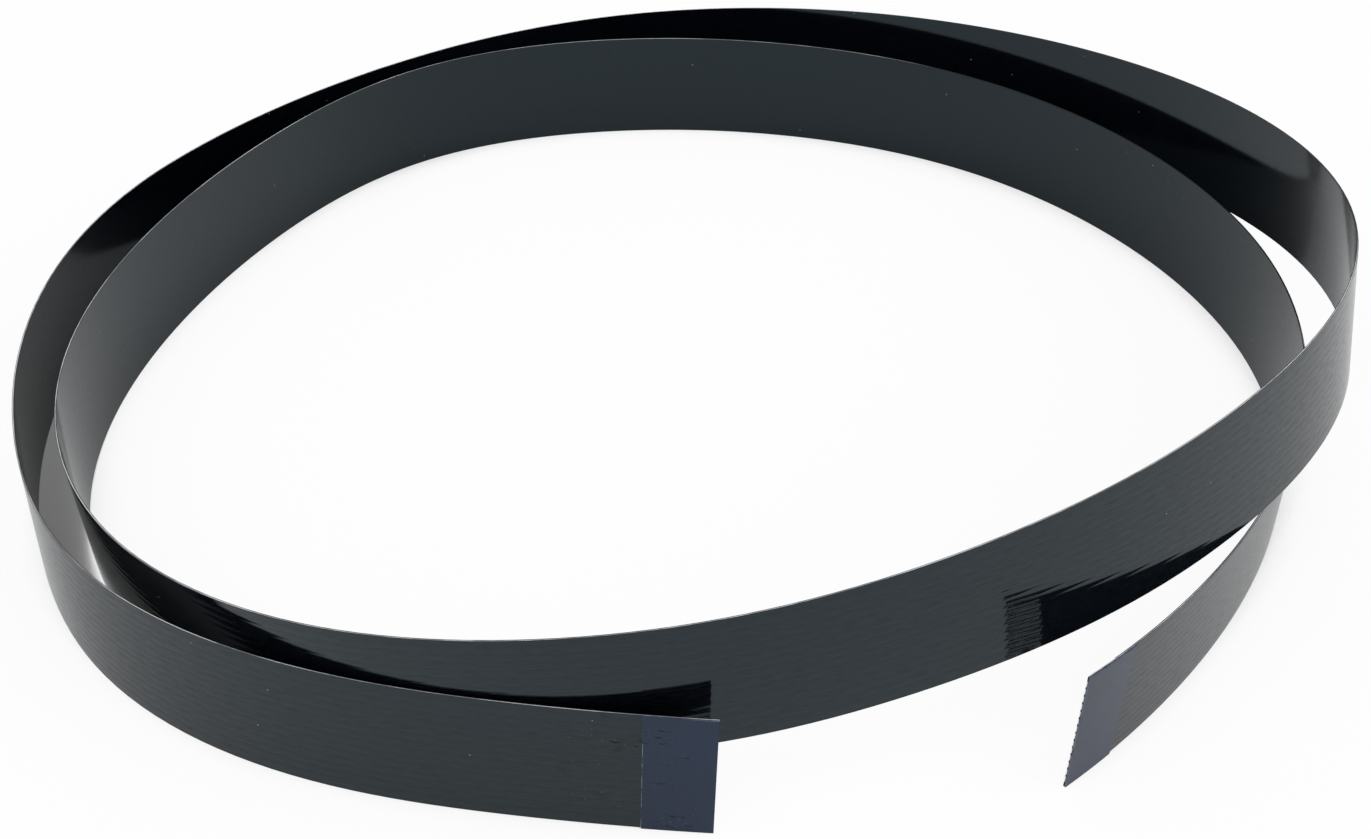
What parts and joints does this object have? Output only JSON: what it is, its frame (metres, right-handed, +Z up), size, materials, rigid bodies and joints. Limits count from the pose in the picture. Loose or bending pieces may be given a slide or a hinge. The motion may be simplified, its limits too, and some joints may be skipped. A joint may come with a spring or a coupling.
{
  "type": "flat flex cable",
  "caption": "Black flat flex cable with bare, stiffened ends, standing on its edge in two loose turns.",
  "frame": {"origin": "on the floor, under the centre of the whole cable's box", "axes": "+Z up from the floor that the cable's edge stands on; the two ends lie at the front, towards -Y; the near end's turn runs off to the left, towards -X"},
  "size_m": [0.1548, 0.1476, 0.0304],
  "materials": {
    "outer_film": "glossy black PET film with fine ribs",
    "inner_film": "smooth black PET film, satin to glossy",
    "conductor": "bright tin plating",
    "stiffener": "smooth navy blue PET"
  },
  "bodies": {
    "root": {"outer_film": "outer_film", "inner_film": "inner_film", "conductor_01": "conductor", "conductor_02": "conductor", "conductor_03": "conductor", "conductor_04": "conductor", "conductor_05": "conductor", "conductor_06": "conductor", "conductor_07": "conductor", "conductor_08": "conductor", "conductor_09": "conductor", "conductor_10": "conductor", "conductor_11": "conductor", "conductor_12": "conductor", "conductor_13": "conductor", "conductor_14": "conductor", "stiffener_near": "stiffener", "stiffener_far": "stiffener"}
  },
  "joints": []
}
